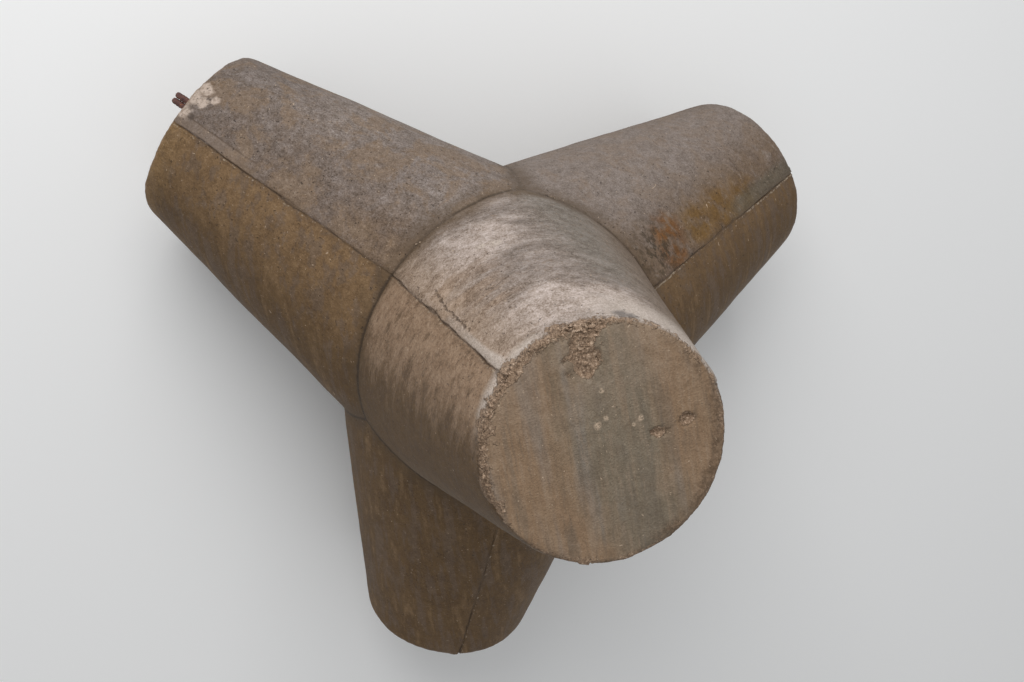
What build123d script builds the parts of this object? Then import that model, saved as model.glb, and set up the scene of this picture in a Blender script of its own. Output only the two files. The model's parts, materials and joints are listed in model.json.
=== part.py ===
from math import cos, radians, sin, sqrt, tan
import os

from build123d import *

# Concrete tetrapod, a wave-breaking armour block that stands on three of its four legs.
# Millimetres, +Z up. The origin is the point where the four leg axes meet, and the top leg points along +Z.

# The cast block: from the centre to a leg's flat end, the end's diameter, and how fast a leg widens inwards
leg_reach = 1220
end_diameter = 620
leg_taper = 11
rim_bevel = 12

# Mould joints: the low ridge left where two shells of the mould met, and how deep its root goes in the concrete
joint_width = 20
joint_height = 3
joint_root = 40

# The lifting loop: two ribbed bars, bent alike, that stand side by side in the end of the left leg
bar_diameter = 20
bar_gap = 2
loop_inner_width = 62
loop_height = 130
anchor_depth = 400

# Where the loop stands on that end: its middle is this far towards the top leg, and this far to the side
loop_rise = 50
loop_side = 57

# The leg axes point to the corners of a regular tetrahedron, so a lower leg falls 1 in 3 of its length,
# and the plane half way between two legs leaves each axis by the square root of 2 sideways to 1 along
axis_fall = 1 / 3
axis_run = sqrt(1 - axis_fall**2)
half_way_slope = sqrt(2)


def lower_axis(azimuth):
    """Direction of the lower leg that runs out at this azimuth."""
    turn = radians(azimuth)
    return Vector(axis_run * cos(turn), axis_run * sin(turn), -axis_fall)


top_axis = Vector(0, 0, 1)
left_axis = lower_axis(180)
right_axis = lower_axis(60)
front_axis = lower_axis(-60)
leg_axes = [top_axis, left_axis, right_axis, front_axis]

taper_slope = tan(radians(leg_taper))
end_radius = end_diameter / 2
root_radius = end_radius + leg_reach * taper_slope


def facing_plane(axis, other):
    """Plane through two leg axes, with its Y along the first and its X towards the second."""
    across = (other - axis * axis.dot(other)).normalized()
    return Plane(origin=(0, 0, 0), x_dir=across, z_dir=across.cross(axis))


def side_point(along, proud):
    """Point of a leg's side line, this far out along the axis and this far proud of the concrete."""
    return root_radius - along * taper_slope + proud / cos(radians(leg_taper)), along


def crotch_point(proud):
    """Where that line meets the same line of the next leg, in the plane half way between them."""
    along = side_point(0, proud)[0] / (half_way_slope + taper_slope)
    return side_point(along, proud)


# One leg: turned about its axis, and cut off square between it and each of its neighbours
def leg(axis):
    neighbours = [other for other in leg_axes if other is not axis]
    with BuildPart() as turned:
        with BuildSketch(facing_plane(axis, neighbours[0])):
            with BuildLine():
                Polyline((0, 0), (root_radius, 0), (end_radius, leg_reach), (0, leg_reach), close=True)
            make_face()
        revolve(axis=Axis((0, 0, 0), axis))
        for other in neighbours:
            split(bisect_by=Plane(origin=(0, 0, 0), z_dir=axis - other), keep=Keep.TOP)
    return turned.part


# One half of a mould joint: the ridge along the side of a leg that faces another leg, out to the worn rim
def joint_ridge(axis, other):
    ridge_end = leg_reach - rim_bevel
    with BuildPart() as ridge:
        with BuildSketch(facing_plane(axis, other)):
            with BuildLine():
                Polyline(
                    crotch_point(joint_height),
                    side_point(ridge_end, joint_height),
                    side_point(ridge_end, -joint_root),
                    crotch_point(-joint_root),
                    close=True,
                )
            make_face()
        extrude(amount=joint_width / 2, both=True)
    return ridge.part


# Lifting loop, drawn in the plane of the left leg and the top leg
bar_radius = bar_diameter / 2
bar_pitch = bar_diameter + bar_gap
loop_bend = loop_inner_width / 2 + bar_radius
loop_top = leg_reach + loop_height - bar_radius
loop_shoulder = loop_top - loop_bend
anchor_foot = leg_reach - anchor_depth


# One bar: round over the top, and down both sides into the concrete
def lifting_bar(side):
    low = loop_rise - loop_bend
    high = loop_rise + loop_bend
    plane = facing_plane(left_axis, top_axis).offset(-side)
    with BuildPart() as bar:
        with BuildLine(plane) as route:
            Line((low, anchor_foot), (low, loop_shoulder))
            ThreePointArc((low, loop_shoulder), (loop_rise, loop_top), (high, loop_shoulder))
            Line((high, loop_shoulder), (high, anchor_foot))
        with BuildSketch(Plane(origin=route.line @ 0, z_dir=route.line % 0)):
            Circle(bar_radius)
        sweep()
    return bar.part


with BuildPart() as lifting_bar_inner:
    add(lifting_bar(loop_side - bar_pitch / 2))
lifting_bar_inner.part.label = "lifting_bar_inner"

with BuildPart() as lifting_bar_outer:
    add(lifting_bar(loop_side + bar_pitch / 2))
lifting_bar_outer.part.label = "lifting_bar_outer"

# Concrete body: the four legs in one casting, sharp in the creases and worn down at the rims
with BuildPart() as concrete_body:
    for axis in leg_axes:
        add(leg(axis))
    rims = concrete_body.edges().filter_by(GeomType.CIRCLE).sort_by(SortBy.LENGTH)[-len(leg_axes):]
    chamfer(rims, length=rim_bevel)
    for axis in leg_axes:
        for other in leg_axes:
            if other is not axis:
                add(joint_ridge(axis, other))
    add(lifting_bar_inner.part, mode=Mode.SUBTRACT)
    add(lifting_bar_outer.part, mode=Mode.SUBTRACT)
concrete_body.part.label = "concrete_body"

os.makedirs("parts", exist_ok=True)
export_step(concrete_body.part, "parts/concrete_body.step")
export_step(lifting_bar_inner.part, "parts/lifting_bar_inner.step")
export_step(lifting_bar_outer.part, "parts/lifting_bar_outer.step")
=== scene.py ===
import json
from math import cos, hypot, pi, radians, sin, tan
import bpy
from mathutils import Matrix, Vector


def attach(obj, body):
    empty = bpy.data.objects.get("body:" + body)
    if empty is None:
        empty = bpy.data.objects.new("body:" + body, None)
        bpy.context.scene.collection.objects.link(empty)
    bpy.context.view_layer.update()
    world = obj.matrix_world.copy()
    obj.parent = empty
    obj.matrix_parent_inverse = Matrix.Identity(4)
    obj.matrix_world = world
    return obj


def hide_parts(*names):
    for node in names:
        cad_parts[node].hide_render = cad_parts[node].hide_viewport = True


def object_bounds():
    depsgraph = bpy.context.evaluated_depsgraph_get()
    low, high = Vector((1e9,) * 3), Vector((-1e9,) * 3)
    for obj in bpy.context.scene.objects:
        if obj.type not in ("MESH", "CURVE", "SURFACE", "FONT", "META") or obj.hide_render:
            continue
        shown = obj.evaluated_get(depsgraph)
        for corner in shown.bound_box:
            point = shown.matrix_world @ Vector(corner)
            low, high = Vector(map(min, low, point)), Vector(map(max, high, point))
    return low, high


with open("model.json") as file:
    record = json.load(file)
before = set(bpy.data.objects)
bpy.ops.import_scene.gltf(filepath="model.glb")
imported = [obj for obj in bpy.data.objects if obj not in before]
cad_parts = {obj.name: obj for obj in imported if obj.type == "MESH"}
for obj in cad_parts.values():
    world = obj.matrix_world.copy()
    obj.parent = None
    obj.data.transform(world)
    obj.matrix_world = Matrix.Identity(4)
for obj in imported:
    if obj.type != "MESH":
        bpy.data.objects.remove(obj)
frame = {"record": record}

from types import SimpleNamespace

import bpy
import numpy as np
from mathutils import Matrix, Quaternion, Vector, noise

# A cast concrete tetrapod with a loop of ribbed bar in the end of one leg, worn and stained by the weather.
# Metres, +Z up. The four leg axes meet at the origin, and the top leg points along +Z.

cad_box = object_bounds()
mounts = {mount["name"]: mount for mount in frame["record"]["mounts"]}

# The cast block
reach = Vector(mounts["top_leg_end"]["pos_m"]).length
end_radius = 0.310
taper = radians(11)
taper_slope = tan(taper)
root_radius = end_radius + reach * taper_slope
rim_bevel = 0.012

# The legs by number, in the order of their axes. Each mould shell lies between three legs, opposite the
# fourth. Where two shells meet, the one whose opposite leg has the higher number stands proud beside the
# joint. The shell opposite the front leg faced the sky.
left_leg, right_leg, top_leg, front_leg = range(4)
leg_axes = [Vector(mounts[name]["axis"]).normalized() for name in
            ("lifting_loop", "right_leg_end", "top_leg_end", "front_leg_end")]
left_axis, right_axis, top_axis, front_axis = leg_axes
axis_rows = np.array(leg_axes)
half_way_span = (left_axis - right_axis).length

# The lifting loop: two bars side by side in the left leg's end
bar_radius = 0.0096
bar_pitch = 0.022
loop_bend = 0.041
loop_rise = 0.050
loop_side = mounts["lifting_loop"]["pos_m"][1]
loop_top = reach + 0.120
anchor_foot = reach - 0.400

# How the block lay when it weathered: rain and drips ran this way, and the sky was the other way
drip_way = Vector((0.66, -0.567, -0.491)).normalized()
sky_way = -drip_way


def radius_at(along):
    """Radius of a leg this far out along its axis."""
    return root_radius - along * taper_slope


def across(axis, other):
    """Direction square to a leg's axis that faces another leg."""
    return (other - axis * axis.dot(other)).normalized()


# Selecting and editing

def only(*pieces):
    """Selects these pieces alone, and makes the first one active."""
    if bpy.context.object and bpy.context.object.mode == "EDIT":
        bpy.ops.object.mode_set(mode="OBJECT")
    bpy.ops.object.select_all(action="DESELECT")
    for piece in pieces:
        piece.select_set(True)
    bpy.context.view_layer.objects.active = pieces[0]


def edit(piece, kind, test):
    """Enters edit mode with the vertices, edges or faces selected that pass a test on their corners."""
    only(piece)
    bpy.ops.object.mode_set(mode="EDIT")
    bpy.ops.mesh.select_mode(type=kind)
    bpy.ops.mesh.select_all(action="DESELECT")
    bpy.ops.object.mode_set(mode="OBJECT")
    mesh = piece.data
    places = [vertex.co.copy() for vertex in mesh.vertices]
    members = {"VERT": mesh.vertices, "EDGE": mesh.edges, "FACE": mesh.polygons}[kind]
    for member in members:
        corners = [member.index] if kind == "VERT" else member.vertices
        member.select = bool(test([places[corner] for corner in corners]))
    bpy.ops.object.mode_set(mode="EDIT")


def leave():
    bpy.ops.object.mode_set(mode="OBJECT")


def apply_place(piece):
    only(piece)
    bpy.ops.object.transform_apply(location=True, rotation=True, scale=True)


def finish_modifier(piece, kind, **settings):
    """Adds a modifier with these settings and applies it."""
    only(piece)
    modifier = piece.modifiers.new(kind.lower(), kind)
    for name, value in settings.items():
        setattr(modifier, name, value)
    bpy.ops.object.modifier_apply(modifier=modifier.name)


def smooth(piece, degrees):
    """Smooth shading, but for edges that turn by more than this."""
    only(piece)
    bpy.ops.object.shade_smooth_by_angle(angle=radians(degrees))


# The cast body: columns of faces round a leg, cut finer beside the joints, rows of them along its flank and
# along the narrow band by its rim, and rings of them in from the rim of its flat end
columns = 192
column_turn = 2 * pi / columns
joint_columns = 2
joint_cuts = 3
flank_rows = 46
band_rows = 9
rim_band = 0.060
bevel_rows = 3
end_rings = (0.005, 0.005, 0.005, 0.005, 0.006, 0.006, 0.008, 0.010, 0.012, 0.016, 0.020, 0.026, 0.030, 0.034,
             0.038, 0.030)

# A leg starts this far from the centre, inside the creases. Heights and points this close are one.
leg_foot = 0.150
same_height = 1e-4
same_in_leg = 0.0002
same_in_crease = 0.0006


def turn_from_joint(point):
    """Angle round the top leg from the nearest line that faces another leg."""
    outward = Vector((point.x, point.y, 0))
    return min(across(top_axis, other).angle(outward) for other in leg_axes if other is not top_axis)


def level_by_joint(ends):
    """Whether an edge runs round the leg, in the columns beside a joint."""
    near = (joint_columns + 0.1) * column_turn
    level = abs(ends[0].z - ends[1].z) < same_height
    return level and all(turn_from_joint(end) < near for end in ends)


def on_end_rim(ends):
    return min(end.z for end in ends) > reach - same_height


def one_leg():
    """The top leg as an open shell, cut off square half way to each neighbour, with its flat end closed."""
    bpy.ops.mesh.primitive_cone_add(
        vertices=columns, radius1=radius_at(leg_foot), radius2=end_radius, depth=reach - leg_foot,
        end_fill_type="NOTHING", location=(0, 0, (reach + leg_foot) / 2))
    leg = bpy.context.object
    apply_place(leg)
    edit(leg, "EDGE", level_by_joint)
    bpy.ops.mesh.subdivide(number_cuts=joint_cuts)

    for other in leg_axes:
        if other is not top_axis:
            half_way = (top_axis - other).normalized()
            bpy.ops.mesh.select_all(action="SELECT")
            bpy.ops.mesh.bisect(plane_co=(0, 0, 0), plane_no=half_way, clear_inner=True)
    bpy.ops.mesh.select_all(action="SELECT")
    bpy.ops.mesh.remove_doubles(threshold=same_in_leg)

    edit(leg, "EDGE", on_end_rim)
    bpy.ops.mesh.edge_face_add()
    edit(leg, "EDGE", on_end_rim)
    bpy.ops.mesh.bevel(offset=rim_bevel, segments=bevel_rows, affect="EDGES")

    bpy.ops.mesh.select_all(action="SELECT")
    bpy.ops.mesh.bisect(plane_co=(0, 0, reach - rim_band), plane_no=(0, 0, 1))
    split_lengthwise(leg, 0, reach - rim_band, flank_rows)
    split_lengthwise(leg, reach - rim_band, reach - rim_bevel, band_rows)

    # The end is one face of many corners, and rings are cut from its edge inwards
    edit(leg, "FACE", lambda corners: len(corners) > 6)
    radius = end_radius - rim_bevel
    for width in end_rings:
        smaller = (radius - width) / radius
        bpy.ops.mesh.extrude_region()
        bpy.ops.transform.resize(value=(smaller, smaller, 1), center_override=(0, 0, reach))
        radius *= smaller
    bpy.ops.mesh.poke()
    leave()
    return leg


def split_lengthwise(leg, low, high, rows):
    """Divides the edges that run along a leg, between two heights, into rings of small faces round it."""
    def runs_along(ends):
        drop = ends[1] - ends[0]
        middle = (ends[0].z + ends[1].z) / 2
        return abs(drop.z) > 0.9 * drop.length and low < middle < high

    edit(leg, "EDGE", runs_along)
    bpy.ops.mesh.subdivide(number_cuts=rows - 1)


def third_turn(about, start, end):
    """A third of a turn about one leg that carries the start leg onto the end leg."""
    for sign in (1, -1):
        turn = Quaternion(about, sign * 2 * pi / 3)
        if (turn @ start - end).length < 1e-3:
            return turn.to_matrix().to_4x4()


def cast_body():
    """All four legs, from copies of the first, joined in the creases."""
    first = one_leg()
    legs = [first]
    for about, end in ((front_axis, left_axis), (front_axis, right_axis), (left_axis, front_axis)):
        only(first)
        bpy.ops.object.duplicate()
        copy = bpy.context.object
        copy.matrix_world = third_turn(about, top_axis, end)
        apply_place(copy)
        legs.append(copy)
    only(*legs)
    bpy.ops.object.join()
    body = bpy.context.object
    body.name = "weathered_concrete"
    edit(body, "VERT", lambda ends: True)
    bpy.ops.mesh.remove_doubles(threshold=same_in_crease)
    bpy.ops.mesh.normals_make_consistent(inside=False)
    leave()
    return body


body = cast_body()


# Where each vertex of the body lies

end_blend = 0.008


def places_of(piece):
    places = np.empty(len(piece.data.vertices) * 3, np.float32)
    piece.data.vertices.foreach_get("co", places)
    return places.reshape(-1, 3).astype(float)


def survey(piece):
    """Arrays over the vertices: the leg they are on, and their distances from joints, rims and creases."""
    places = places_of(piece)
    each = np.arange(len(places))
    outward = places @ axis_rows.T
    order = np.argsort(-outward, axis=1)
    leg, second, third, opposite = order.T
    along = outward[each, leg]
    square = places - along[:, None] * axis_rows[leg]
    radial = np.linalg.norm(square, axis=1)
    sideways = np.cross(axis_rows[leg], axis_rows[second])
    sideways /= np.linalg.norm(sideways, axis=1)[:, None]
    from_joint = np.abs((places * sideways).sum(axis=1))
    side_depth = (root_radius - along * taper_slope - radial) * cos(taper)
    end_depth = reach - along
    on_end = np.clip((side_depth - end_depth) / end_blend + 0.5, 0, 1)
    outline = square / np.maximum(radial, 1e-6)[:, None] * cos(taper) + axis_rows[leg] * sin(taper)
    outline = outline * (1 - on_end)[:, None] + axis_rows[leg] * on_end[:, None]
    return {
        "places": places, "leg": leg, "opposite": opposite, "along": along, "radial": radial,
        "joint": np.where(opposite > third, from_joint, -from_joint),
        "crease": (along - outward[each, second]) / half_way_span,
        "rim": np.maximum(end_depth, 0) + np.maximum(end_radius - radial, 0),
        "end": on_end, "outline": outline, "sky": outline @ np.array(sky_way),
    }


def bump(distance, width):
    """1 at no distance, and down to 0 at this width, rounded."""
    return np.clip(1 - (np.abs(distance) / width) ** 2, 0, 1) ** 2


def shelf(value, low, high, soft):
    """1 between two values, with soft edges."""
    return np.clip((value - low) / soft + 0.5, 0, 1) * np.clip((high - value) / soft + 0.5, 0, 1)


# Damage to the top leg. Its end is broken in these spots: the middle of each, half its length towards the
# rim, and half its width. Their outlines waver with this many waves to the metre, by this share of their
# size, and are this steep. Down the flank they go on past the lip, and shrink over the drop.
broken_patches = [
    ((-0.212, 0.192, 1.220), 0.064, 0.062),
    ((-0.172, 0.138, 1.220), 0.052, 0.050),
    ((0.140, 0.163, 1.220), 0.027, 0.021),
    ((0.091, 0.091, 1.220), 0.018, 0.016),
]
patch_waves = 38
patch_waver = 0.55
patch_slope = 2.2
patch_lip = 0.004
patch_drop = 0.045

# Its rim is worn back most round here. The wear starts where the cosine of the turn from here is the first
# of these, and is full from the second.
most_worn = Vector((-1.00, -0.03, 0)).normalized()
worn_start = 0.32
worn_full = 0.64


def wander(here, chosen, scale):
    """A smooth pattern from -1 to 1 at these vertices, with this many waves to the metre."""
    values = np.zeros(len(here["along"]))
    for index in np.flatnonzero(chosen):
        values[index] = noise.noise(Vector(here["places"][index]) * scale)
    return values


def patch_weight(here):
    """How deep each vertex lies in one of the broken patches of the top leg's end, from 0 to 1."""
    near = (here["leg"] == top_leg) & (here["along"] > reach - rim_band)
    ragged = wander(here, near, patch_waves)
    weight = np.zeros(len(near))
    for middle, long, wide in broken_patches:
        middle = Vector(middle)
        out = Vector((middle.x, middle.y, 0)).normalized()
        way = np.array(out)
        side = np.array(out.cross(top_axis))
        offset = here["places"] - np.array(middle)
        size = np.hypot(offset @ way / long, offset @ side / wide) + patch_waver * ragged
        size += np.maximum(reach - here["along"] - patch_lip, 0) / patch_drop
        weight = np.maximum(weight, np.clip(patch_slope - patch_slope * size, 0, 1))
    return weight * near


def worn_side(here):
    """1 on the side of the top leg where its rim is worn back most, and down to 0 on the other side."""
    facing = here["places"] @ np.array(most_worn) / np.maximum(here["radial"], 0.05)
    return np.clip((facing - worn_start) / (worn_full - worn_start), 0, 1) * (here["leg"] == top_leg)


# Finer faces where they show most: in this band both ways from the top rim, again in a narrower one on the
# worn side, out to this cosine, and on the broken patches inside the band, each a little past its length
fine_band = 0.046
finer_drop = 0.026
finer_width = 0.034
finer_arc = 0.50
patch_spread = 1.35
patch_margin = 0.040


def refine(piece):
    def middle_of(corners):
        """The middle of a face, and how far it lies from the top leg's axis."""
        middle = sum(corners, Vector()) / len(corners)
        return middle, hypot(middle.x, middle.y)

    def on_top_rim(corners):
        radius = middle_of(corners)[1]
        low = min(corner.z for corner in corners)
        return low > reach - fine_band and radius > end_radius - fine_band

    def on_worn_rim(corners):
        middle, radius = middle_of(corners)
        in_band = middle.z > reach - finer_drop and radius > end_radius - finer_width
        return in_band and middle.dot(most_worn) > finer_arc * radius

    def on_patch(corners):
        middle, radius = middle_of(corners)
        on_end = middle.z > reach - 0.001 and radius < end_radius - patch_margin
        return on_end and any((middle - Vector(patch)).length < patch_spread * long
                              for patch, long, wide in broken_patches)

    for test, cuts in ((on_top_rim, 1), (on_worn_rim, 1), (on_patch, 2)):
        edit(piece, "FACE", test)
        bpy.ops.mesh.subdivide(number_cuts=cuts)
    leave()


refine(body)


def clouds(size, depth=2, contrast=1.0, brightness=1.0, hard=False):
    made = bpy.data.textures.new("clouds", "CLOUDS")
    made.noise_scale = size
    made.contrast = contrast
    made.intensity = brightness
    made.noise_depth = depth
    made.noise_basis = "ORIGINAL_PERLIN"
    made.noise_type = "HARD_NOISE" if hard else "SOFT_NOISE"
    return made


def weigh(piece, name, weights):
    """Keeps a weight for each vertex that has one, for a modifier to follow."""
    group = piece.vertex_groups.new(name=name)
    for index in np.flatnonzero(weights > 0.002):
        group.add([int(index)], float(min(weights[index], 1)), "REPLACE")


def displace(piece, strength, follow="", pattern=None, middle=0.5):
    """Moves the surface in or out along its normals, by a pattern and by the weights named."""
    finish_modifier(piece, "DISPLACE", strength=strength, vertex_group=follow, texture=pattern,
                    mid_level=middle if pattern else 0, texture_coords="LOCAL", direction="NORMAL")


def keep_mask(piece, name, values):
    layer = piece.data.attributes.new(name, "FLOAT", "POINT")
    layer.data.foreach_set("value", values.astype(np.float32))


def keep_masks(piece):
    """Stores on the mesh what the paint follows: the joints, rims, creases, wear and shells."""
    here = survey(piece)
    masks = {
        "joint": here["joint"],
        "rim": here["rim"],
        "crease": here["crease"],
        "end": here["end"],
        "sky": here["sky"],
        "clean_shell": here["opposite"] == front_leg,
        "top_leg": here["leg"] == top_leg,
        "left_leg": here["leg"] == left_leg,
        "right_leg": here["leg"] == right_leg,
        "broken": patch_weight(here),
        "worn": worn_side(here),
    }
    for name, values in masks.items():
        keep_mask(piece, name, values)


keep_masks(body)

# The mould joints, leg by leg: the width of the strip that stands proud, and how open the groove is. Their
# lines wander and tremble by these distances, with these many waves to the metre, and the fin stands this
# far to the low side.
strip_widths = [0.038, 0.027, 0.030, 0.027]
groove_shares = [0.55, 0.9, 1.0, 0.8]
joint_near = 0.035
joint_wander, joint_waves = 0.006, 11
joint_tremor, tremor_waves = 0.003, 45
groove_waves = 6
fin_offset = 0.004

# How far the wear of a rim reaches
rim_wear = 0.018


def weather(piece):
    """The joints, the worn rims, the broken patches and the unevenness of the cast surface."""
    here = survey(piece)
    flank = 1 - here["end"]
    top = here["leg"] == top_leg
    on_left_end = (here["leg"] == left_leg) * here["end"]
    near_rim = np.exp(-((here["rim"] / rim_wear) ** 2))
    patches = patch_weight(here)
    worn = worn_side(here)
    by_joint = np.abs(here["joint"]) < joint_near
    joint = here["joint"] + joint_wander * wander(here, by_joint, joint_waves)
    joint = joint + joint_tremor * wander(here, by_joint, tremor_waves)
    open_joint = np.clip(0.62 + 1.5 * wander(here, by_joint, groove_waves), 0.12, 1)
    open_joint = open_joint * np.choose(here["leg"], groove_shares)
    strip = np.choose(here["leg"], strip_widths)
    rough = np.maximum(near_rim * (0.22 + 0.60 * worn), patches)
    weigh(piece, "joint_band", shelf(joint, 0.002, strip, 0.006) * flank * (here["crease"] > 0.004))
    weigh(piece, "joint_line", bump(joint, 0.0055) * flank * open_joint)
    weigh(piece, "joint_fin", bump(joint + fin_offset, 0.007) * flank)
    weigh(piece, "top_rim", near_rim * top * (0.45 + 0.55 * worn))
    weigh(piece, "other_rims", near_rim * ~top)
    weigh(piece, "rough", rough)
    weigh(piece, "cast_rough", 0.5 * on_left_end)
    weigh(piece, "broken", patches)
    weigh(piece, "left_end", on_left_end)
    weigh(piece, "even", np.maximum(flank, 0.35))

    displace(piece, 0.010, "even", clouds(0.42))
    displace(piece, 0.005, "even", clouds(0.12))
    displace(piece, 0.0034, "joint_band", clouds(0.10, contrast=0.6, brightness=1.6), middle=0)
    displace(piece, -0.0060, "joint_line")
    displace(piece, 0.0040, "joint_fin", clouds(0.04, contrast=3.0, brightness=0.85), middle=0)
    displace(piece, -0.021, "top_rim", clouds(0.060, contrast=1.8), middle=0.32)
    displace(piece, -0.011, "other_rims", clouds(0.085), middle=0.20)
    displace(piece, -0.009, "broken")
    displace(piece, 0.008, "left_end", clouds(0.07))
    displace(piece, 0.006, "cast_rough", clouds(0.012, depth=3, contrast=1.4))
    before = places_of(piece)
    displace(piece, 0.012, "rough", clouds(0.0085, depth=1, hard=True, contrast=1.3), middle=0.36)

    # How far each grain of the rough parts stands out, in standard deviations, for the paint, which darkens
    # the hollows as painted shade and lightens the raised grains as painted light
    relief = ((places_of(piece) - before) * here["outline"]).sum(axis=1) / np.maximum(rough, 0.05)
    moved = relief[rough > 0.1]
    relief = np.clip((relief - moved.mean()) / moved.std(), -1.5, 1.5) * (rough > 0.05)
    keep_mask(piece, "relief", relief)
    piece.vertex_groups.clear()


weather(body)
smooth(body, 38)


# The lifting loop. A bar has slanted ribs round each half of it and one rib along each side between them,
# and is plain below this depth in the concrete.
bar_sides = 28
bar_rows = 210
bar_core = bar_radius - 0.0004
ribbed_depth = 0.030
rib_pitch = 0.0120
rib_width = 0.0034
rib_height = 0.0011
rib_lean = 0.45
rib_start = 0.25 * bar_radius
long_rib = 0.14 * bar_radius
rib_stop = 0.004

# How far out along the leg a bar's straight sides end, how long they are, and the length of the bar and of
# its plain and ribbed parts
shoulder = loop_top - loop_bend
straight = shoulder - anchor_foot
bar_length = 2 * straight + pi * loop_bend
plain_length = reach - ribbed_depth - anchor_foot
ribbed_length = bar_length - 2 * plain_length

# How far a handle pulls in a quarter of a circle, in radii
quarter_pull = 0.5523


def ribbed_bar(name, side):
    """One bar of the loop: a straight ribbed bar, bent along its path."""
    bpy.ops.mesh.primitive_cylinder_add(vertices=bar_sides, radius=bar_core, depth=ribbed_length,
                                        end_fill_type="NGON", rotation=(0, pi / 2, 0))
    bar = bpy.context.object
    bar.name = name
    apply_place(bar)
    edit(bar, "EDGE", lambda ends: abs(ends[0].x - ends[1].x) > ribbed_length / 2)
    bpy.ops.mesh.subdivide(number_cuts=bar_rows)

    def on_rib(ends):
        point = ends[0]
        lean = rib_lean * point.z * (1 if point.y > 0 else -1)
        on_cross_rib = (point.x + lean) % rib_pitch < rib_width and abs(point.y) > rib_start
        on_long_rib = abs(point.y) < long_rib
        return (on_cross_rib or on_long_rib) and abs(point.x) < ribbed_length / 2 - rib_stop

    edit(bar, "VERT", on_rib)
    bpy.ops.transform.shrink_fatten(value=rib_height)

    # The plain ends that stay in the concrete
    for end in (-1, 1):
        edit(bar, "FACE", lambda corners, end=end:
             min(end * corner.x for corner in corners) > ribbed_length / 2 - 1e-5)
        bpy.ops.mesh.extrude_region_move(TRANSFORM_OT_translate={"value": (end * plain_length, 0, 0)})
    leave()
    finish_modifier(bar, "DISPLACE", strength=0.0011, texture=clouds(0.006), mid_level=0.5,
                    texture_coords="LOCAL")

    path = loop_path(name + "_path", side)
    curve = path.data
    bar.data.transform(Matrix.Translation((bar_length / 2, 0, 0)))
    finish_modifier(bar, "CURVE", object=path, deform_axis="POS_X")
    bpy.data.objects.remove(path)
    bpy.data.curves.remove(curve)
    edit(bar, "FACE", lambda corners: True)
    bpy.ops.mesh.normals_make_consistent(inside=False)
    leave()
    smooth(bar, 50)
    return bar


def loop_path(name, side):
    """The path of a bar, through five points from one foot over the top to the other."""
    towards_top = across(left_axis, top_axis)
    base = Vector((0, side, 0))
    grip = quarter_pull * loop_bend
    route = [
        # place towards the top leg and out along the left leg, then how far its handles pull both ways
        (loop_rise - loop_bend, anchor_foot, 0, straight / 3),
        (loop_rise - loop_bend, shoulder, 0, grip),
        (loop_rise, shoulder + loop_bend, grip, 0),
        (loop_rise + loop_bend, shoulder, 0, -grip),
        (loop_rise + loop_bend, anchor_foot, 0, -straight / 3),
    ]
    curve = bpy.data.curves.new(name, "CURVE")
    curve.dimensions = "3D"
    curve.resolution_u = 40
    spline = curve.splines.new("BEZIER")
    spline.bezier_points.add(len(route) - 1)
    for knot, (rise, out, pull_rise, pull_out) in zip(spline.bezier_points, route):
        place = base + towards_top * rise + left_axis * out
        pull = towards_top * pull_rise + left_axis * pull_out
        knot.co = place
        knot.handle_left_type = knot.handle_right_type = "FREE"
        knot.handle_left = place - pull
        knot.handle_right = place + pull
    path = bpy.data.objects.new(name, curve)
    bpy.context.collection.objects.link(path)
    return path


inner_bar = ribbed_bar("ribbed_bar_inner", loop_side - bar_pitch / 2)
outer_bar = ribbed_bar("ribbed_bar_outer", loop_side + bar_pitch / 2)


# Paint

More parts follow.
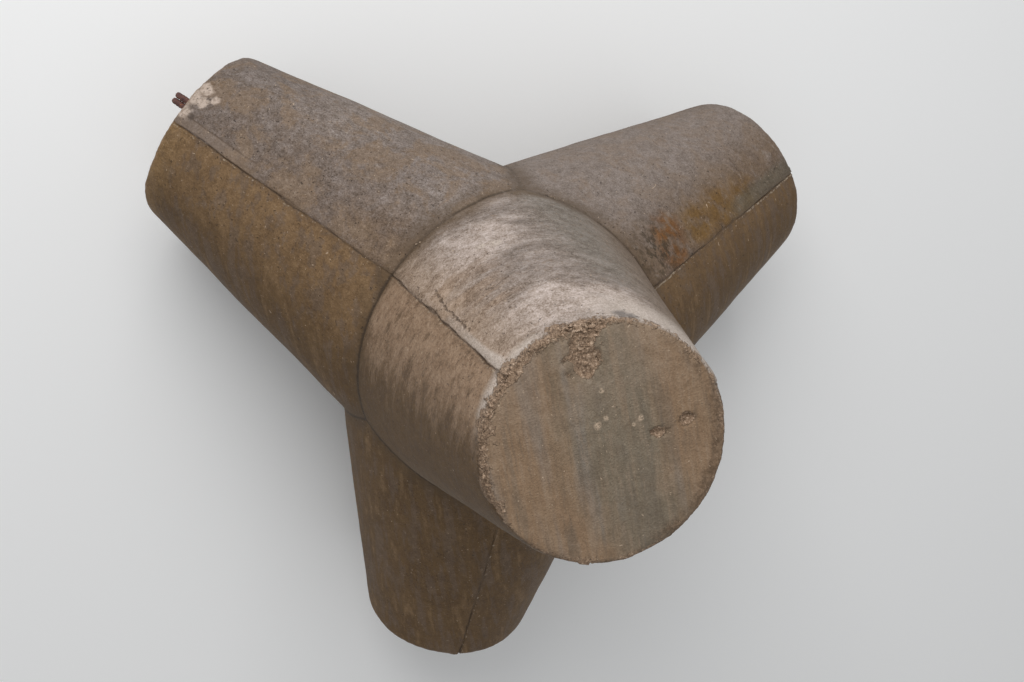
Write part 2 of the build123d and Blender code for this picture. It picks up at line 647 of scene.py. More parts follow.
class Paint:
    """One material's nodes. Each call adds a node and returns its output."""

    def __init__(self, name):
        self.material = bpy.data.materials.new(name)
        self.material.use_nodes = True
        self.tree = self.material.node_tree
        self.tree.nodes.clear()
        self.place = self.add("ShaderNodeTexCoord").outputs["Object"]

    def add(self, kind, inputs=(), **settings):
        node = self.tree.nodes.new(kind)
        for name, value in settings.items():
            setattr(node, name, value)
        for socket, value in dict(inputs).items():
            if isinstance(value, bpy.types.NodeSocket):
                self.tree.links.new(value, node.inputs[socket])
            else:
                node.inputs[socket].default_value = value
        return node

    def mask(self, name):
        return self.add("ShaderNodeAttribute", attribute_name=name).outputs["Fac"]

    def noise(self, scale, detail=4, rough=0.55, warp=0.0, where=None):
        inputs = {"Vector": where or self.place, "Scale": scale, "Detail": detail, "Roughness": rough,
                  "Distortion": warp}
        return self.add("ShaderNodeTexNoise", inputs).outputs["Fac"]

    def sums(self, operation, first, second=0.0):
        return self.add("ShaderNodeMath", {0: first, 1: second}, operation=operation).outputs[0]

    def times(self, first, *others):
        for other in others:
            first = self.sums("MULTIPLY", first, other)
        return first

    def plus(self, first, *others):
        for other in others:
            first = self.sums("ADD", first, other)
        return first

    def larger(self, first, second):
        return self.sums("MAXIMUM", first, second)

    def away(self, value):
        """1 less the value."""
        return self.sums("SUBTRACT", 1.0, value)

    def swing(self, pattern, amount):
        """A pattern that lies round the half, made to lie round 0 and to run this far from end to end."""
        return self.times(self.plus(pattern, -0.5), amount)

    def step(self, value, low, high):
        """0 below low and 1 above high, or the other way round where low is the larger."""
        inputs = {"Value": value, "From Min": low, "From Max": high}
        return self.add("ShaderNodeMapRange", inputs, interpolation_type="SMOOTHSTEP", clamp=True).outputs[0]

    def mix(self, share, first, second, how="MIX"):
        node = self.add("ShaderNodeMix", data_type="RGBA", blend_type=how)
        for socket, value in ((node.inputs[0], share), (node.inputs[6], first), (node.inputs[7], second)):
            if isinstance(value, bpy.types.NodeSocket):
                self.tree.links.new(value, socket)
            elif isinstance(value, tuple):
                socket.default_value = (*value, 1.0)
            else:
                socket.default_value = value
        return node.outputs[2]

    def over(self, tone, colour, strength, *masks):
        """Lays a colour over a tone, at this strength where all the masks are 1."""
        return self.mix(self.times(strength, *masks), tone, colour)

    def vector(self, operation, inputs):
        return self.add("ShaderNodeVectorMath", inputs, operation=operation).outputs

    def dot(self, way, where=None):
        return self.vector("DOT_PRODUCT", {0: where or self.place, 1: tuple(way)})["Value"]

    def joined(self, x, y, z=0.0):
        return self.add("ShaderNodeCombineXYZ", {"X": x, "Y": y, "Z": z}).outputs[0]

    def stretched(self, way, stretch):
        """Coordinates drawn out along one direction."""
        way = Vector(way).normalized()
        side = way.orthogonal().normalized()
        third = way.cross(side)
        return self.joined(self.dot(side), self.dot(third), self.times(self.dot(way), 1 / stretch))

    def jitter(self, scale, amount):
        """Coordinates that wander by about this distance, so that what is drawn in them has ragged edges."""
        inputs = {"Vector": self.place, "Scale": scale, "Detail": 3.0}
        colours = self.add("ShaderNodeTexNoise", inputs).outputs["Color"]
        centred = self.vector("SUBTRACT", {0: colours, 1: (0.5, 0.5, 0.5)})[0]
        scaled = self.vector("SCALE", {0: centred, "Scale": amount * 2})[0]
        return self.vector("ADD", {0: scaled, 1: self.place})[0]

    def spot(self, middle, size, where=None, soft=0.7):
        """1 at a place on the piece, and down to 0 at this distance."""
        distance = self.vector("DISTANCE", {0: where or self.place, 1: tuple(middle)})["Value"]
        return self.step(distance, size, size * (1 - soft))

    def spots(self, listed, where=None, soft=0.7):
        """The strongest of several spots, each a place and a size."""
        total = 0.0
        for middle, size in listed:
            total = self.larger(total, self.spot(middle, size, where, soft))
        return total

    def trail(self, points, width, where=None):
        """1 on a line through these places, and 0 beyond its width."""
        nearest = 1.0
        for start, end in zip(points, points[1:]):
            start, end = Vector(start), Vector(end)
            run = end - start
            offset = self.vector("SUBTRACT", {0: where or self.place, 1: tuple(start)})[0]
            share = self.dot(run / run.length_squared, where=offset)
            share = self.sums("MINIMUM", self.larger(share, 0.0), 1.0)
            foot = self.vector("SCALE", {0: tuple(run), "Scale": share})[0]
            gap = self.vector("DISTANCE", {0: offset, 1: foot})["Value"]
            nearest = self.sums("MINIMUM", nearest, gap)
        return self.step(nearest, width, width * 0.3)

    def finish(self, colour, roughness, height, depth, specular):
        bump_node = self.add("ShaderNodeBump", {"Strength": 1.0, "Distance": depth, "Height": height})
        inputs = {"Base Color": colour, "Roughness": roughness, "Normal": bump_node.outputs[0],
                  "Specular IOR Level": specular}
        shader = self.add("ShaderNodeBsdfPrincipled", inputs)
        output = self.add("ShaderNodeOutputMaterial")
        self.tree.links.new(shader.outputs[0], output.inputs[0])
        return self.material


# Stains and marks, by their place on the block and their size
golden_stains = [((0.385, 0.785, 0.105), 0.135), ((0.320, 0.695, 0.165), 0.115),
                 ((0.450, 0.885, 0.036), 0.105)]
orange_stains = [((0.215, 0.600, 0.240), 0.095), ((0.262, 0.570, 0.253), 0.090)]
dark_stains = [((0.200, 0.525, 0.288), 0.140)]
rough_beige = [((-1.243, 0.046, -0.112), 0.030), ((-1.240, 0.097, -0.124), 0.038),
               ((-1.216, 0.144, -0.132), 0.030), ((-1.179, 0.127, -0.100), 0.020),
               ((-1.206, 0.102, -0.106), 0.028)]
dark_holes = [((-1.196, 0.119, -0.107), 0.010), ((-1.207, 0.043, -0.090), 0.016)]
main_crack = [(-0.419, 0.052, 0.644), (-0.402, 0.032, 0.739), (-0.391, 0.033, 0.797),
              (-0.376, 0.033, 0.873), (-0.362, 0.027, 0.949)]
crack_branch = [(-0.402, 0.032, 0.739), (-0.372, 0.100, 0.775), (-0.349, 0.149, 0.861),
                (-0.329, 0.197, 0.841)]
light_scuffs = [((-0.350, 0.249, 0.604), 0.030), ((-0.368, 0.225, 0.590), 0.022)]
light_areas = [((-0.390, 0.190, 0.560), 0.190), ((-0.330, 0.270, 0.480), 0.130),
               ((-0.290, 0.230, 1.080), 0.200), ((-0.120, 0.330, 1.080), 0.140)]
peach_areas = [((-0.400, 0.090, 0.740), 0.200), ((-0.370, 0.130, 0.900), 0.160)]
dark_smudge = [((-0.148, 0.280, 1.186), 0.030), ((-0.129, 0.292, 1.198), 0.026)]
pale_grains = [((-0.046, 0.026, 1.220), 0.013), ((-0.090, 0.102, 1.220), 0.009),
               ((0.036, 0.100, 1.220), 0.010), ((-0.040, 0.052, 1.220), 0.010),
               ((0.030, 0.075, 1.220), 0.008)]

# Ways across the top leg: towards the right leg's side, and on its end down the long stains, across them,
# up against them, and towards the dirty part of the rim
far_side_way = (0.62, 0.78, 0)
end_down_way = (0.72, -0.69, 0)
end_across_way = (0.61, 0.79, 0)
end_up_way = (-0.79, 0.61, 0)
dirty_rim_way = (0.90, 0.44, 0)

# Tones of the shell that faced the sky, then of the brown shells. The grey is partly dust and partly painted
# sheen, and the darker brown below is painted shade.
joint_brown, shell_dust_and_sheen_grey = (0.162, 0.112, 0.078), (0.240, 0.196, 0.170)
broad_shade, tip_shade = (0.160, 0.128, 0.112), (0.150, 0.120, 0.104)
cloud_brown, cloud_mauve = (0.176, 0.118, 0.074), (0.268, 0.224, 0.204)
shell_brown, shaded_under_brown = (0.182, 0.109, 0.052), (0.116, 0.066, 0.026)
drip_umber, drip_gold, drip_wide = (0.142, 0.098, 0.068), (0.220, 0.136, 0.068), (0.112, 0.068, 0.034)
hidden_light, hidden_dark = (0.196, 0.142, 0.096), (0.138, 0.100, 0.070)
tip_gold = (0.240, 0.146, 0.064)

# Tones of the top leg, above its joints and then below them
brushed_dark, brushed_pale = (0.196, 0.158, 0.134), (0.492, 0.404, 0.354)
scuff_pale, scuff_dark = (0.470, 0.395, 0.345), (0.150, 0.112, 0.085)
# The turned brown is partly the leg's own brown and partly painted shade, where it turns from the sky
peach, green_grey, turned_brown_and_shade = (0.360, 0.250, 0.175), (0.184, 0.162, 0.134), (0.192, 0.142, 0.104)
# The brown by the crease with the left leg is partly dirt and partly painted shade
by_joint_tan, by_crease_dirt_and_shade = (0.400, 0.280, 0.190), (0.170, 0.112, 0.066)
# The dark side tone is painted shade, where the leg turns from the sky
side_shade_dark, side_pale = (0.112, 0.064, 0.026), (0.310, 0.205, 0.132)
side_streak, side_run = (0.350, 0.240, 0.160), (0.118, 0.074, 0.042)
side_hair, side_thread = (0.350, 0.245, 0.168), (0.100, 0.066, 0.042)
side_hidden_light, side_hidden_dark = (0.206, 0.152, 0.106), (0.144, 0.106, 0.076)

# Tones of the stains, the sand and the whitened edges
low_run, low_pale, damp_green = (0.130, 0.088, 0.054), (0.280, 0.230, 0.198), (0.112, 0.096, 0.068)
golden_brown, rust_orange, run_black = (0.164, 0.088, 0.024), (0.168, 0.068, 0.016), (0.050, 0.034, 0.019)
rusty_sand, pale_sand = (0.190, 0.116, 0.060), (0.410, 0.330, 0.270)
chalk_dark, chalk_white = (0.470, 0.392, 0.334), (0.640, 0.560, 0.496)

# Tones of the flat ends
end_brown, end_green, end_upper = (0.262, 0.170, 0.102), (0.198, 0.157, 0.110), (0.310, 0.232, 0.168)
run_pale, run_dark, run_mauve = (0.290, 0.200, 0.128), (0.150, 0.122, 0.092), (0.226, 0.198, 0.174)
hair_pale, hair_dark = (0.330, 0.240, 0.168), (0.130, 0.098, 0.070)
rim_dirt_dark, rim_dirt_pale = (0.085, 0.054, 0.032), (0.190, 0.126, 0.080)
cast_dark, cast_pale, cast_pit = (0.270, 0.192, 0.136), (0.440, 0.346, 0.276), (0.150, 0.104, 0.072)
loop_rust = (0.190, 0.082, 0.034)

# Tones of the joints and creases, and of the bare and broken parts
joint_shade, joint_dark, fin_pale = (0.100, 0.064, 0.038), (0.062, 0.040, 0.025), (0.450, 0.370, 0.280)
# The crease tones are partly dirt and partly painted shade
crease_dirt_and_shade, crease_line_dirt_and_shade = (0.092, 0.058, 0.030), (0.040, 0.026, 0.016)
strip_pale, strip_edge = (0.270, 0.200, 0.150), (0.088, 0.058, 0.038)
bare_brown, bare_tan = (0.196, 0.128, 0.080), (0.385, 0.262, 0.176)
# The bright and dark bare tones also carry painted light on raised grains and painted shade in hollows
bare_bright, bare_dark = (0.720, 0.545, 0.400), (0.048, 0.030, 0.019)
beige_dark, beige_pale, hole_dark = (0.350, 0.270, 0.212), (0.570, 0.462, 0.386), (0.060, 0.042, 0.030)
crack_dark, pit_dark = (0.090, 0.056, 0.034), (0.046, 0.030, 0.021)
scuffed_pale, smudge_grey, speck_pale = (0.620, 0.530, 0.455), (0.120, 0.105, 0.098), (0.600, 0.455, 0.330)


def read_marks(p):
    """The masks stored on the block, and the patterns that several layers of paint share."""
    names = ("joint", "rim", "crease", "end", "sky", "clean_shell", "top_leg", "left_leg", "right_leg",
             "broken", "worn", "relief")
    m = SimpleNamespace(**{name: p.mask(name) for name in names})
    m.flank = p.away(m.end)
    m.joint_gap = p.sums("ABSOLUTE", m.joint)
    m.drips = p.stretched(drip_way, 8)
    m.ragged = p.jitter(26, 0.020)
    m.wide = p.noise(2.6, 3)
    m.blotch = p.noise(9, 5, 0.66, warp=0.5)
    m.mottle = p.noise(34, 4, 0.72)
    m.fleck = p.noise(98, 3, 0.72)
    m.grain = p.noise(205, 2, 0.70)
    m.streak = p.noise(13, 4, 0.60, where=m.drips)
    m.thin = p.noise(27, 4, 0.62, where=m.drips)
    m.hair = p.noise(62, 4, 0.66, where=m.drips)
    return m


def hidden_side(p, m, start):
    """How far a face looks down and away from the sky, where its tones are plainer."""
    return p.times(p.step(p.plus(m.sky, p.times(m.blotch, 0.3)), start, -0.35), 0.75)


def shell_tones(p, m):
    """The shell that faced the sky is grey, partly from dust and partly from painted sheen, and browner by
    its joints. The others are brown, and darker where they turn from the sky, as painted shade.
    """
    # Grey away from the joints, on the faces turned to the sky: partly dust, partly painted sheen
    grey = p.mix(p.step(m.joint_gap, 0.08, 0.30), joint_brown, shell_dust_and_sheen_grey)
    grey = p.over(grey, broad_shade, 0.50, p.step(m.wide, 0.42, 0.62), m.left_leg)
    grey = p.over(grey, tip_shade, 0.55, p.step(m.rim, 0.42, 0.12), m.left_leg)
    cloudy = p.plus(1.0, p.times(m.right_leg, -0.45))
    grey = p.over(grey, cloud_brown, 0.68, p.step(m.blotch, 0.46, 0.58), cloudy)
    grey = p.over(grey, cloud_mauve, 0.50, p.step(m.blotch, 0.47, 0.34), cloudy)
    # Darker brown where a face turns from the sky: painted shade
    brown = p.mix(p.step(m.sky, 0.60, 0.05), shell_brown, shaded_under_brown)
    brown = p.over(brown, drip_umber, 0.62, p.step(m.thin, 0.48, 0.60))
    brown = p.over(brown, drip_gold, 0.62, p.step(m.thin, 0.46, 0.34))
    brown = p.over(brown, drip_wide, 0.35, p.step(m.streak, 0.47, 0.34))
    plain = p.mix(p.step(m.thin, 0.40, 0.60), hidden_light, hidden_dark)
    brown = p.mix(hidden_side(p, m, 0.10), brown, plain)
    brown = p.over(brown, tip_gold, 0.60, p.step(m.rim, 0.12, 0.02), m.left_leg, m.flank)
    return p.mix(m.clean_shell, brown, grey)


def top_leg_tones(p, m, tone):
    """The top leg is brushed round by what has rubbed on it: pale above its joints, streaked brown below.
    Where it turns from the sky its tones are browner and darker, partly as painted shade.
    """
    apart = p.add("ShaderNodeSeparateXYZ", {0: p.place}).outputs
    turn = p.sums("ARCTAN2", apart["Y"], apart["X"])
    slant = p.plus(apart["Z"], p.times(turn, 0.030))
    scuff = p.noise(105, 5, 0.74, where=p.joined(p.times(turn, 0.035), slant))
    sweep = p.noise(15, 4, 0.62, where=p.joined(p.times(turn, 0.120), slant))
    light = p.spots(light_areas, p.jitter(8, 0.12), soft=0.9)
    lift = p.plus(p.swing(sweep, 0.62), p.plus(0.44, p.times(light, 0.40)))
    pale = p.mix(p.step(lift, 0.25, 0.80), brushed_dark, brushed_pale)
    warm = p.spots(peach_areas, p.jitter(10, 0.10), soft=0.9)
    pale = p.over(pale, peach, 0.65, warm, p.step(sweep, 0.62, 0.44))
    pale = p.over(pale, scuff_pale, 0.42, p.step(scuff, 0.52, 0.70))
    pale = p.over(pale, scuff_dark, 0.45, p.step(scuff, 0.47, 0.30))
    low = p.times(p.step(m.crease, 0.45, 0.04), p.step(apart["X"], -0.36, -0.12))
    far_side = p.times(p.step(p.dot(far_side_way), 0.06, 0.24), p.step(m.rim, 0.10, 0.42))
    pale = p.over(pale, green_grey, 0.72, p.larger(low, far_side))
    by_left_leg = p.step(apart["X"], -0.10, -0.30)
    pale = p.over(pale, by_joint_tan, 0.55, p.step(m.joint_gap, 0.20, 0.03), by_left_leg)
    # Browner towards the crease with the left leg: partly dirt, partly painted shade
    by_crease = p.step(p.plus(m.crease, p.times(m.blotch, 0.2)), 0.20, 0.09)
    pale = p.over(pale, by_crease_dirt_and_shade, 0.65, by_crease, by_left_leg)
    # Browner where the leg turns from the sky: partly its own brown, partly painted shade
    pale = p.over(pale, turned_brown_and_shade, p.step(m.sky, 0.86, 0.66), p.step(apart["X"], -0.2, 0.1))

    lit = p.step(m.sky, 0.05, 0.45)
    # Below the joints, darker where the leg turns from the sky: painted shade
    side = p.mix(p.step(m.sky, 0.22, 0.60), side_shade_dark, side_pale)
    side = p.over(side, side_streak, 0.55, p.step(m.thin, 0.48, 0.60), lit)
    side = p.over(side, side_run, 0.60, p.step(m.thin, 0.46, 0.33))
    side = p.over(side, side_hair, 0.45, p.step(m.hair, 0.52, 0.66), lit)
    side = p.over(side, side_thread, 0.45, p.step(m.hair, 0.47, 0.33))
    plain = p.mix(p.step(m.thin, 0.40, 0.60), side_hidden_light, side_hidden_dark)
    side = p.mix(hidden_side(p, m, 0.06), side, plain)
    return p.mix(m.top_leg, tone, p.mix(m.clean_shell, side, pale))


def stains(p, m, tone):
    """Golden and orange runs above the right leg's joint, among fainter ones."""
    run = p.step(m.thin, 0.40, 0.56)
    thin_run = p.step(m.hair, 0.44, 0.56)
    low_side = p.times(p.step(m.joint_gap, 0.24, 0.10), m.right_leg, m.clean_shell)
    tone = p.over(tone, low_run, 0.50, low_side, p.step(m.hair, 0.50, 0.62))
    tone = p.over(tone, low_pale, 0.50, low_side, p.step(m.thin, 0.46, 0.34))
    golden = p.times(p.spots(golden_stains, m.ragged), m.clean_shell, p.step(m.joint_gap, 0.22, 0.12))
    tone = p.over(tone, golden_brown, golden, p.plus(0.52, p.times(run, 0.40)))
    orange = p.times(p.spots(orange_stains, m.ragged), m.clean_shell)
    tone = p.over(tone, rust_orange, 0.92, orange, p.plus(0.30, p.times(run, 0.70)))
    outer_part = p.step(p.plus(m.rim, p.times(m.blotch, 0.2)), 0.55, 0.40)
    green_band = p.times(p.step(m.joint, 0.080, 0.045), outer_part, m.right_leg)
    tone = p.over(tone, damp_green, 0.65, green_band, m.clean_shell)
    dark = p.spots(dark_stains, m.ragged, soft=0.8)
    return p.over(tone, run_black, 0.82, dark, m.clean_shell, thin_run)


def mottling(p, m, tone):
    """Sand, flecks and clouding in every cast face, and softer on the flat ends and the brown shells."""
    strength = p.plus(0.38, p.times(m.flank, p.plus(0.42, p.times(p.step(m.blotch, 0.62, 0.40), 0.20))))
    strength = p.times(strength, p.plus(1.0, p.times(m.right_leg, -0.30)))
    strength = p.times(strength, p.plus(0.68, p.times(p.larger(m.clean_shell, m.end), 0.32)))
    rusty = p.step(p.noise(52, 4, 0.74), 0.51, 0.64)
    crowded = p.plus(0.35, p.times(p.step(m.blotch, 0.40, 0.60), 0.65))
    tone = p.over(tone, rusty_sand, 0.42, rusty, crowded, strength)
    tone = p.over(tone, pale_sand, 0.38, p.step(m.fleck, 0.60, 0.74), strength)
    shade = 0.16
    for pattern, low, high, share in ((m.blotch, 0.30, 0.70, 0.38), (m.mottle, 0.34, 0.66, 0.38),
                                      (m.fleck, 0.28, 0.72, 0.42), (m.grain, 0.32, 0.68, 0.50)):
        shade = p.plus(shade, p.times(p.step(pattern, low, high), share))
    browner = p.joined(shade, p.sums("POWER", shade, 1.12), p.sums("POWER", shade, 1.28))
    return p.mix(strength, tone, p.mix(1.0, tone, browner, "MULTIPLY"))


def flat_ends(p, m, tone):
    """The long soft stains of the flat ends, and the left end's rough cast face with rust below its loop."""
    width_way = p.plus(p.dot(end_across_way), p.swing(p.noise(8, 3, where=m.drips), 0.22))
    green = p.times(p.step(width_way, -0.12, -0.01), p.step(width_way, 0.19, 0.08))
    face = p.mix(green, end_brown, end_green)
    down_end = p.stretched(end_down_way, 9)
    runs = p.noise(24, 4, 0.60, where=down_end)
    wide_runs = p.noise(11, 3, 0.60, where=down_end)
    hairs = p.noise(70, 3, 0.66, where=down_end)
    face = p.over(face, run_pale, 0.44, p.step(runs, 0.51, 0.63))
    face = p.over(face, run_dark, 0.38, p.step(runs, 0.47, 0.36))
    face = p.over(face, run_mauve, 0.45, p.step(wide_runs, 0.52, 0.64))
    face = p.over(face, hair_pale, 0.30, p.step(hairs, 0.52, 0.64))
    face = p.over(face, hair_dark, 0.34, p.step(hairs, 0.47, 0.35))
    upper = p.step(p.dot(end_up_way), 0.02, 0.20)
    face = p.over(face, end_upper, 0.45, upper, p.step(m.blotch, 0.36, 0.60))
    by_rim = p.step(p.plus(m.rim, p.swing(m.mottle, 0.05)), 0.050, 0.022)
    dirty = p.times(p.step(p.dot(dirty_rim_way), 0.08, 0.20), p.step(m.blotch, 0.36, 0.54))
    dirt = p.mix(p.step(m.fleck, 0.40, 0.60), rim_dirt_dark, rim_dirt_pale)
    face = p.over(face, dirt, 0.75, by_rim, dirty)

    cloud = p.plus(p.times(m.blotch, 0.60), p.times(m.mottle, 0.25), p.times(m.fleck, 0.15))
    cast = p.mix(p.step(cloud, 0.38, 0.60), cast_dark, cast_pale)
    cast = p.over(cast, cast_pit, 0.55, p.step(m.grain, 0.46, 0.34))
    loop_foot = left_axis * reach + Vector((0, loop_side, 0))
    rust_runs = p.step(p.noise(20, 4, 0.60, where=m.drips), 0.38, 0.60)
    cast = p.over(cast, loop_rust, 0.80, p.spot(loop_foot, 0.20, m.ragged), rust_runs)
    return p.mix(m.end, tone, p.mix(m.left_leg, face, cast))


def worn_edges(p, m, tone):
    """The whitened bands beside the top leg's rim and joints."""
    ragged = p.plus(m.rim, p.swing(m.blotch, 0.07))
    by_joint = p.step(p.plus(m.joint_gap, p.swing(m.blotch, 0.08)), 0.150, 0.085)
    narrow = p.times(p.step(ragged, 0.064, 0.030), p.plus(0.12, p.times(by_joint, 0.88)))
    far_side = p.step(p.dot(far_side_way), 0.00, 0.16)
    broad = p.times(p.step(ragged, 0.200, 0.050), m.clean_shell, far_side, 0.95)
    width = p.plus(0.026, p.times(p.step(m.rim, 0.16, 0.02), 0.012))
    beyond = p.sums("SUBTRACT", m.joint, width)
    strip = p.times(p.step(m.joint, 0.003, 0.008), p.step(beyond, 0.006, -0.006))
    strip = p.times(strip, p.step(p.plus(m.rim, p.times(m.blotch, 0.3)), 0.64, 0.24))
    white = p.times(p.larger(p.larger(narrow, broad), strip), m.top_leg, m.flank)
    white = p.times(white, p.step(m.fleck, 0.12, 0.40), p.step(m.sky, 0.10, 0.45))
    chalk = p.mix(p.step(m.grain, 0.36, 0.62), chalk_dark, chalk_white)
    return p.over(tone, chalk, 0.82, white)


def joints_and_creases(p, m, tone):
    """The dark, broken line of each joint with what is left of its fin, and the dirt and painted shade in the
    creases.
    """
    wavering = p.plus(m.joint, p.swing(m.mottle, 0.014), p.swing(m.blotch, 0.012))
    line = p.times(p.step(p.sums("ABSOLUTE", wavering), 0.0046, 0.0010), m.flank)
    seen = p.plus(0.15, p.times(p.step(m.blotch, 0.40, 0.60), 0.65))
    tone = p.over(tone, joint_shade, 0.20, p.step(m.joint_gap, 0.026, 0.002), m.flank)
    tone = p.over(tone, joint_dark, line, seen)
    by_ends = p.larger(p.step(m.crease, 0.14, 0.09), p.times(p.step(m.rim, 0.40, 0.28), 0.6))
    left_on = p.step(p.plus(m.fleck, p.times(m.right_leg, by_ends, 0.16)), 0.55, 0.66)
    fin = p.step(p.sums("ABSOLUTE", p.plus(wavering, 0.006)), 0.0040, 0.0014)
    tone = p.over(tone, fin_pale, 0.75, fin, left_on, m.flank)

    # Darker towards each crease, with a dark line in it: partly dirt, partly painted shade
    dirt = p.step(p.plus(m.crease, p.swing(m.blotch, 0.12)), 0.070, 0.0)
    tone = p.over(tone, crease_dirt_and_shade, 0.60, dirt)
    line = p.step(p.plus(m.crease, p.swing(m.mottle, 0.016)), 0.0110, 0.0010)
    fainter = p.plus(-0.55, p.times(p.step(m.blotch, 0.44, 0.60), 0.40))
    tone = p.over(tone, crease_line_dirt_and_shade, line, p.plus(0.80, p.times(m.clean_shell, fainter)))

    near_tip = p.step(p.plus(m.rim, p.times(m.blotch, 0.25)), 0.52, 0.36)
    near_tip = p.times(m.left_leg, m.flank, near_tip)
    strip = p.plus(m.joint, -0.040, p.swing(m.mottle, 0.008))
    on_strip = p.times(p.step(strip, 0.002, -0.004), p.step(m.joint, 0.002, 0.008))
    tone = p.over(tone, strip_pale, 0.35, on_strip, near_tip)
    edge = p.step(p.sums("ABSOLUTE", strip), 0.0042, 0.0012)
    return p.over(tone, strip_edge, 0.62, edge, near_tip)


def broken_parts(p, m, tone):
    """Bare aggregate where the rims and the end are broken, and its share of the surface."""
    chips = p.times(p.step(p.noise(17, 3, 0.60), 0.50, 0.62), p.plus(0.010, p.times(m.worn, 0.014)))
    reach_in = p.plus(0.005, p.times(m.worn, 0.012), chips)
    ragged = p.sums("SUBTRACT", p.plus(m.rim, p.swing(m.fleck, 0.040)), reach_in)
    share = p.times(p.step(ragged, 0.005, -0.004), p.plus(0.30, p.times(m.top_leg, 0.70)))
    patch = p.step(p.plus(m.broken, p.swing(m.fleck, 1.2)), 0.20, 0.48)
    share = p.larger(share, patch)
    # The stones' own tones, with painted shade in the hollows and painted light on the raised grains, from
    # the relief
    stone_tone_and_relief_shade = p.plus(p.noise(140, 3, 0.80), p.times(m.relief, 0.026), p.times(patch, 0.030))
    bare = p.mix(p.step(stone_tone_and_relief_shade, 0.38, 0.60), bare_brown, bare_tan)
    bare = p.over(bare, bare_bright, 0.90, p.step(stone_tone_and_relief_shade, 0.58, 0.68))
    bare = p.over(bare, bare_dark, 0.80, p.step(stone_tone_and_relief_shade, 0.43, 0.33))
    beige = p.mix(p.step(m.fleck, 0.34, 0.56), beige_dark, beige_pale)
    tone = p.over(tone, beige, 0.90, p.spots(rough_beige, m.ragged, soft=0.45), m.flank)
    tone = p.over(tone, hole_dark, 0.80, p.spots(dark_holes, m.ragged))
    return p.over(tone, bare, 0.90, share), share


def fine_marks(p, m, tone):
    """Cracks, scuffs, pits and specks, with the depth of the cracks and pits."""
    wobbly = p.jitter(55, 0.011)
    branch = p.times(p.trail(crack_branch, 0.0038, wobbly), 0.7)
    crack = p.larger(p.trail(main_crack, 0.0050, wobbly), branch)
    crack = p.times(crack, p.plus(0.45, p.times(p.step(m.mottle, 0.40, 0.55), 0.55)))
    tone = p.over(tone, crack_dark, 0.80, crack)
    scuffed = p.times(p.spots(light_scuffs, m.ragged), p.step(m.fleck, 0.38, 0.55))
    tone = p.over(tone, scuffed_pale, 0.80, scuffed)
    tone = p.over(tone, smudge_grey, 0.75, p.spots(dark_smudge, m.ragged), m.top_leg, m.flank)
    crowd = p.plus(p.swing(m.blotch, 0.08), p.times(m.end, -0.07))
    pit = p.step(p.plus(p.noise(105, 2, 0.60), crowd), 0.675, 0.735)
    tone = p.over(tone, pit_dark, 0.70, pit)
    speck = p.step(p.noise(118, 2, 0.60, where=p.jitter(9, 0.05)), 0.700, 0.750)
    grains = p.times(p.spots(pale_grains, p.jitter(60, 0.006)), p.step(m.grain, 0.36, 0.52))
    tone = p.over(tone, speck_pale, 0.75, p.larger(speck, grains))
    return tone, p.larger(pit, crack)


def concrete():
    p = Paint("sea_worn_concrete")
    m = read_marks(p)
    tone = shell_tones(p, m)
    for layer in (top_leg_tones, stains, flat_ends, mottling, worn_edges, joints_and_creases):
        tone = layer(p, m, tone)
    tone, bare = broken_parts(p, m, tone)
    tone, deep = fine_marks(p, m, tone)
    roughness = p.plus(0.48, p.times(m.fleck, 0.40))
    height = p.plus(p.times(m.grain, 0.45), p.times(m.fleck, 0.55))
    height = p.sums("SUBTRACT", height, p.times(deep, 1.1))
    height = p.plus(height, p.times(bare, p.noise(150, 3, 0.80), 1.3))
    return p.finish(tone, roughness, height, depth=0.0045, specular=0.28)


def rusty_bar():
    p = Paint("scaled_rust")
    scale = p.noise(95, 5, 0.65)
    blotch = p.noise(28, 4, 0.60, warp=0.8)
    dull, reddish, orange, black = ((0.085, 0.040, 0.038), (0.150, 0.070, 0.055), (0.300, 0.120, 0.045),
                                    (0.035, 0.018, 0.016))
    tone = p.mix(p.step(blotch, 0.38, 0.62), dull, reddish)
    tone = p.over(tone, orange, 0.75, p.step(scale, 0.52, 0.72))
    tone = p.over(tone, black, 0.70, p.step(scale, 0.42, 0.28))
    return p.finish(tone, p.plus(0.62, p.times(scale, 0.3)), scale, depth=0.0015, specular=0.35)


def dress(piece, material, slot, *nodes):
    piece.data.materials.clear()
    piece.data.materials.append(material)
    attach(piece, "root")
    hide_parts(*nodes)


dress(body, concrete(), "concrete", "concrete_body")
rust = rusty_bar()
dress(inner_bar, rust, "rusty_bar", "lifting_bar_inner")
dress(outer_bar, rust, "rusty_bar", "lifting_bar_outer")


# Floor and light. The floor and the world look pale, and give off less light than they show.
floor_width = 60
floor_lit, floor_shown = (0.34, 0.33, 0.31, 1), (0.96, 0.96, 0.955, 1)
world_lit, world_shown = (0.97, 0.985, 1.0, 1), (0.80, 0.80, 0.80, 1)
world_strength = 0.44

# The softbox stands where the sky was, a little higher
softbox_way = (sky_way + Vector((0, 0, 0.25))).normalized()
softbox_distance = 6.5
softbox_width = 5.0
softbox_brightness = 0.66


def seen_directly(tree):
    """1 where the camera, a reflection or a clear surface sees it, and 0 for the light that it gives off."""
    path = tree.nodes.new("ShaderNodeLightPath")
    seen = path.outputs["Is Camera Ray"]
    for kind in ("Is Glossy Ray", "Is Transmission Ray"):
        either = tree.nodes.new("ShaderNodeMath")
        either.operation = "MAXIMUM"
        tree.links.new(seen, either.inputs[0])
        tree.links.new(path.outputs[kind], either.inputs[1])
        seen = either.outputs[0]
    return seen


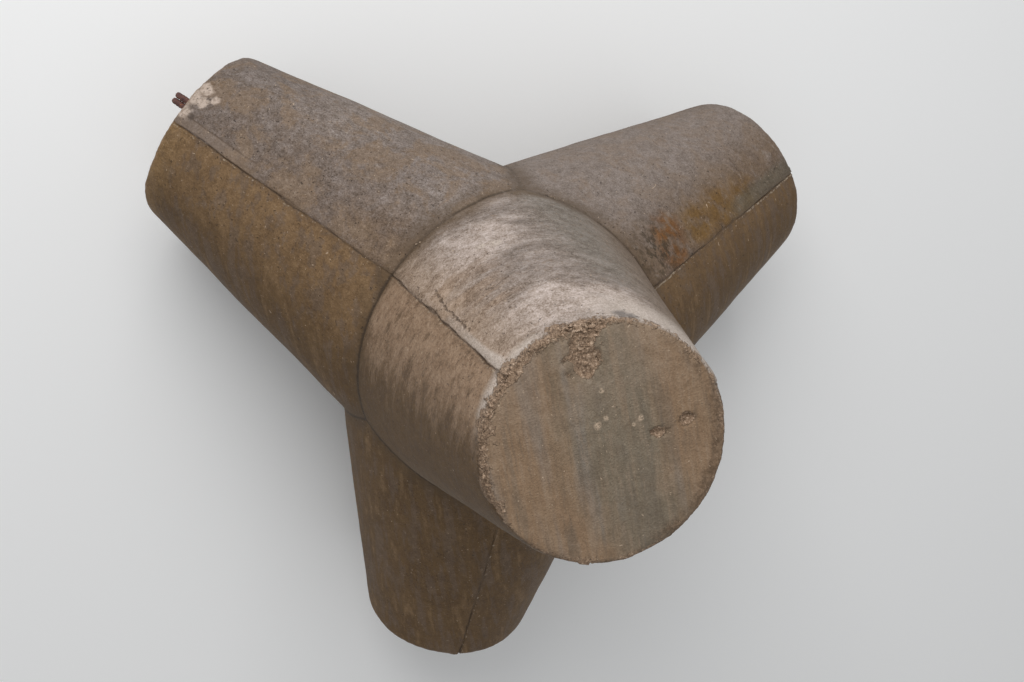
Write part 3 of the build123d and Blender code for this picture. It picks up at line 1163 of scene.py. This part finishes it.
def pale_floor():
    bpy.ops.mesh.primitive_plane_add(size=floor_width, location=(0, 0, cad_box[0].z))
    floor = bpy.context.object
    floor.name = "floor"
    apply_place(floor)
    material = bpy.data.materials.new("pale_floor")
    material.use_nodes = True
    tree = material.node_tree
    shader = tree.nodes["Principled BSDF"]
    shader.inputs["Roughness"].default_value = 0.9
    tint = tree.nodes.new("ShaderNodeMix")
    tint.data_type = "RGBA"
    tint.inputs[6].default_value = floor_lit
    tint.inputs[7].default_value = floor_shown
    tree.links.new(seen_directly(tree), tint.inputs[0])
    tree.links.new(tint.outputs[2], shader.inputs["Base Color"])
    floor.data.materials.append(material)


def plain_world():
    world = bpy.data.worlds.new("studio")
    world.use_nodes = True
    bpy.context.scene.world = world
    tree = world.node_tree
    light = tree.nodes["Background"]
    light.inputs["Color"].default_value = world_lit
    light.inputs["Strength"].default_value = world_strength
    shown = tree.nodes.new("ShaderNodeBackground")
    shown.inputs["Color"].default_value = world_shown
    mixed = tree.nodes.new("ShaderNodeMixShader")
    tree.links.new(seen_directly(tree), mixed.inputs[0])
    tree.links.new(light.outputs[0], mixed.inputs[1])
    tree.links.new(shown.outputs[0], mixed.inputs[2])
    tree.links.new(mixed.outputs[0], tree.nodes["World Output"].inputs[0])


def softbox(way, distance, width, brightness):
    """A square lamp that faces the block, and alone would light a white wall at this brightness."""
    lamp = bpy.data.lights.new("softbox", "AREA")
    lamp.size = width
    lamp.energy = brightness * pi * pi * distance ** 2
    holder = bpy.data.objects.new("softbox", lamp)
    bpy.context.collection.objects.link(holder)
    turn = way.to_track_quat("Z", "Y").to_matrix().to_4x4()
    holder.matrix_world = Matrix.Translation(way * distance) @ turn


# The photograph's camera, found by fitting the outline of the legs: where it stands, what it faces and its
# upward way
photo_place = Vector((-1.1747, 0.2217, 3.7009))
photo_aim = Vector((0.2800, 0.2477, -0.9275)).normalized()
photo_up = Vector((-0.601, 0.798, 0.032))

# The render's camera stands there too, and turns to take in the whole block
aim_point = Vector((0.03, 0.02, 0.10))
lens = 40.0
sensor_width = 36


def photo_camera(aim):
    back = -photo_aim
    right = photo_up.cross(back).normalized()
    up = back.cross(right)
    first = Matrix((right, up, back)).transposed()
    turn = photo_aim.rotation_difference(aim).to_matrix()
    camera = bpy.data.cameras.new("camera")
    camera.lens = lens
    camera.sensor_width = sensor_width
    holder = bpy.data.objects.new("camera", camera)
    bpy.context.collection.objects.link(holder)
    holder.matrix_world = Matrix.Translation(photo_place) @ (turn @ first).to_4x4()
    bpy.context.scene.camera = holder


pale_floor()
plain_world()
softbox(softbox_way, softbox_distance, softbox_width, softbox_brightness)
photo_camera((aim_point - photo_place).normalized())
bpy.context.scene.view_settings.view_transform = "Standard"
